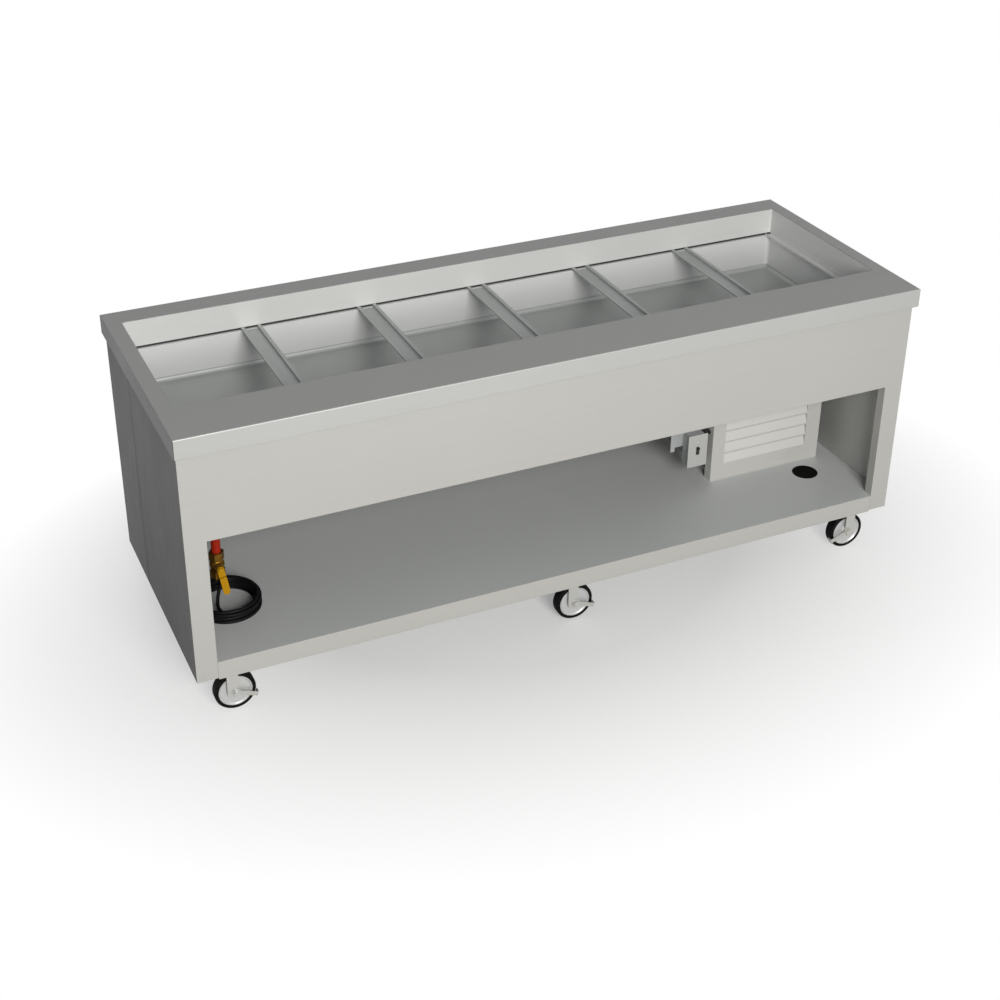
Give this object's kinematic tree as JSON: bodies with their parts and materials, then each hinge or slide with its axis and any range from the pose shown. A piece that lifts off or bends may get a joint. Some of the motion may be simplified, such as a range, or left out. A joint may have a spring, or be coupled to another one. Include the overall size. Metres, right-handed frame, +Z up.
{
  "type": "mobile salad bar",
  "caption": "Mobile refrigerated salad bar: brushed steel cabinet on swivel casters with a cold well, lift-off adapter bars, open shelf, louvred condensing unit, drain valve and coiled cord.",
  "frame": {"origin": "middle of the footprint, at floor level", "axes": "+X along the length to the right as seen by the operator, -Y towards the open side, +Z up"},
  "size_m": [2.286, 0.813, 0.914],
  "materials": {
    "worktop_steel": "brushed, running lengthwise",
    "breaker_plastic": "moulded",
    "liner_steel": "brushed",
    "foam": "foamed in place",
    "copper": "drawn",
    "galvanised": "galvanised",
    "panel_steel": "brushed",
    "end_steel": "brushed",
    "shelf_steel": "brushed, running lengthwise",
    "pipe_red": "wrapped",
    "valve_brass": "cast and turned",
    "lever_yellow": "plated",
    "black_paint": "satin enamel",
    "fin_aluminium": "mill",
    "rocker_plastic": "moulded",
    "conduit_plastic": "moulded",
    "black_rubber": "moulded",
    "cord_rubber": "extruded",
    "caster_steel": "bright zinc",
    "wheel_steel": "bright zinc",
    "tyre": "moulded",
    "brake_steel": "bright zinc"
  },
  "bodies": {
    "cabinet": {"countertop": "worktop_steel", "thermal_break": "breaker_plastic", "well_liner": "liner_steel", "well_insulation": "foam", "cooling_tube": "copper", "well_shell": "galvanised", "front_fascia": "panel_steel", "left_end_panel": "end_steel", "right_end_panel": "end_steel", "back_panel": "end_steel", "bottom_shelf": "shelf_steel", "caster_mounts": "galvanised", "end_rails": "worktop_steel", "drain_pipe": "pipe_red", "drain_valve": "valve_brass", "louvre_cover": "panel_steel", "unit_frame": "galvanised", "compressor": "black_paint", "condenser_coil": "fin_aluminium", "fan_motor": "black_paint", "refrigerant_lines": "copper", "control_bracket": "galvanised", "electrical_boxes": "galvanised", "switch_plate": "panel_steel", "flex_conduit": "conduit_plastic", "shelf_grommet": "black_rubber", "cord_gland": "cord_rubber", "cord_tube": "cord_rubber", "cord_coil": "cord_rubber", "cord_plug": "cord_rubber"},
    "bar_1": {"adapter_bar_1": "worktop_steel"},
    "bar_2": {"adapter_bar_2": "worktop_steel"},
    "bar_3": {"adapter_bar_3": "worktop_steel"},
    "bar_4": {"adapter_bar_4": "worktop_steel"},
    "bar_5": {"adapter_bar_5": "worktop_steel"},
    "strainer": {"drain_strainer": "worktop_steel"},
    "lever": {"drain_lever": "lever_yellow"},
    "rocker": {"switch_rocker": "rocker_plastic"},
    "fan": {"fan_blade": "fin_aluminium"},
    "fork_1": {"caster_fork_1": "caster_steel"},
    "wheel_1": {"caster_wheel_1": "wheel_steel", "caster_tyre_1": "tyre"},
    "fork_2": {"caster_fork_2": "caster_steel"},
    "wheel_2": {"caster_wheel_2": "wheel_steel", "caster_tyre_2": "tyre"},
    "fork_3": {"caster_fork_3": "caster_steel"},
    "wheel_3": {"caster_wheel_3": "wheel_steel", "caster_tyre_3": "tyre"},
    "fork_4": {"caster_fork_4": "caster_steel"},
    "wheel_4": {"caster_wheel_4": "wheel_steel", "caster_tyre_4": "tyre"},
    "fork_5": {"caster_fork_5": "caster_steel"},
    "wheel_5": {"caster_wheel_5": "wheel_steel", "caster_tyre_5": "tyre"},
    "fork_6": {"caster_fork_6": "caster_steel"},
    "wheel_6": {"caster_wheel_6": "wheel_steel", "caster_tyre_6": "tyre"},
    "brake_1": {"brake_lever_1": "brake_steel"},
    "brake_2": {"brake_lever_2": "brake_steel"},
    "brake_3": {"brake_lever_3": "brake_steel"}
  },
  "joints": [
    {"name": "bar_1_lift", "type": "slide", "parent": "cabinet", "child": "bar_1", "axis": [0, 0, 1], "range_m": [0, 0.15]},
    {"name": "bar_2_lift", "type": "slide", "parent": "cabinet", "child": "bar_2", "axis": [0, 0, 1], "range_m": [0, 0.15]},
    {"name": "bar_3_lift", "type": "slide", "parent": "cabinet", "child": "bar_3", "axis": [0, 0, 1], "range_m": [0, 0.15]},
    {"name": "bar_4_lift", "type": "slide", "parent": "cabinet", "child": "bar_4", "axis": [0, 0, 1], "range_m": [0, 0.15]},
    {"name": "bar_5_lift", "type": "slide", "parent": "cabinet", "child": "bar_5", "axis": [0, 0, 1], "range_m": [0, 0.15]},
    {"name": "strainer_lift", "type": "slide", "parent": "cabinet", "child": "strainer", "axis": [0, 0, 1], "range_m": [0, 0.06]},
    {"name": "drain_lever_turn", "type": "hinge", "parent": "cabinet", "child": "lever", "pos_m": [-0.998, -0.1645, 0.362], "axis": [0, -1, 0], "range_deg": [-9, 81]},
    {"name": "switch_rock", "type": "hinge", "parent": "cabinet", "child": "rocker", "pos_m": [0.597, -0.1035, 0.324], "axis": [-1, 0, 0], "range_deg": [0, 16]},
    {"name": "fan_spin", "type": "hinge", "parent": "cabinet", "child": "fan", "pos_m": [0.855, 0.035, 0.337], "axis": [0, 1, 0], "continuous": true},
    {"name": "swivel_1", "type": "hinge", "parent": "cabinet", "child": "fork_1", "pos_m": [-1.06, -0.3395, 0.14], "axis": [0, 0, 1], "continuous": true},
    {"name": "roll_1", "type": "hinge", "parent": "fork_1", "child": "wheel_1", "pos_m": [-1.022, -0.3395, 0.06], "axis": [0, 1, 0], "continuous": true},
    {"name": "brake_1_press", "type": "hinge", "parent": "fork_1", "child": "brake_1", "pos_m": [-1.022, -0.3395, 0.06], "axis": [0, -1, 0], "range_deg": [0, 30]},
    {"name": "swivel_2", "type": "hinge", "parent": "cabinet", "child": "fork_2", "pos_m": [0, -0.3395, 0.14], "axis": [0, 0, 1], "continuous": true},
    {"name": "roll_2", "type": "hinge", "parent": "fork_2", "child": "wheel_2", "pos_m": [0.038, -0.3395, 0.06], "axis": [0, 1, 0], "continuous": true},
    {"name": "brake_2_press", "type": "hinge", "parent": "fork_2", "child": "brake_2", "pos_m": [0.038, -0.3395, 0.06], "axis": [0, -1, 0], "range_deg": [0, 30]},
    {"name": "swivel_3", "type": "hinge", "parent": "cabinet", "child": "fork_3", "pos_m": [1.06, -0.3395, 0.14], "axis": [0, 0, 1], "continuous": true},
    {"name": "roll_3", "type": "hinge", "parent": "fork_3", "child": "wheel_3", "pos_m": [1.022, -0.3395, 0.06], "axis": [0, 1, 0], "continuous": true},
    {"name": "brake_3_press", "type": "hinge", "parent": "fork_3", "child": "brake_3", "pos_m": [1.022, -0.3395, 0.06], "axis": [0, 1, 0], "range_deg": [0, 30]},
    {"name": "swivel_4", "type": "hinge", "parent": "cabinet", "child": "fork_4", "pos_m": [-1.06, 0.3395, 0.14], "axis": [0, 0, 1], "continuous": true},
    {"name": "roll_4", "type": "hinge", "parent": "fork_4", "child": "wheel_4", "pos_m": [-1.022, 0.3395, 0.06], "axis": [0, 1, 0], "continuous": true},
    {"name": "swivel_5", "type": "hinge", "parent": "cabinet", "child": "fork_5", "pos_m": [0, 0.3395, 0.14], "axis": [0, 0, 1], "continuous": true},
    {"name": "roll_5", "type": "hinge", "parent": "fork_5", "child": "wheel_5", "pos_m": [0.038, 0.3395, 0.06], "axis": [0, 1, 0], "continuous": true},
    {"name": "swivel_6", "type": "hinge", "parent": "cabinet", "child": "fork_6", "pos_m": [1.06, 0.3395, 0.14], "axis": [0, 0, 1], "continuous": true},
    {"name": "roll_6", "type": "hinge", "parent": "fork_6", "child": "wheel_6", "pos_m": [1.022, 0.3395, 0.06], "axis": [0, 1, 0], "continuous": true}
  ]
}
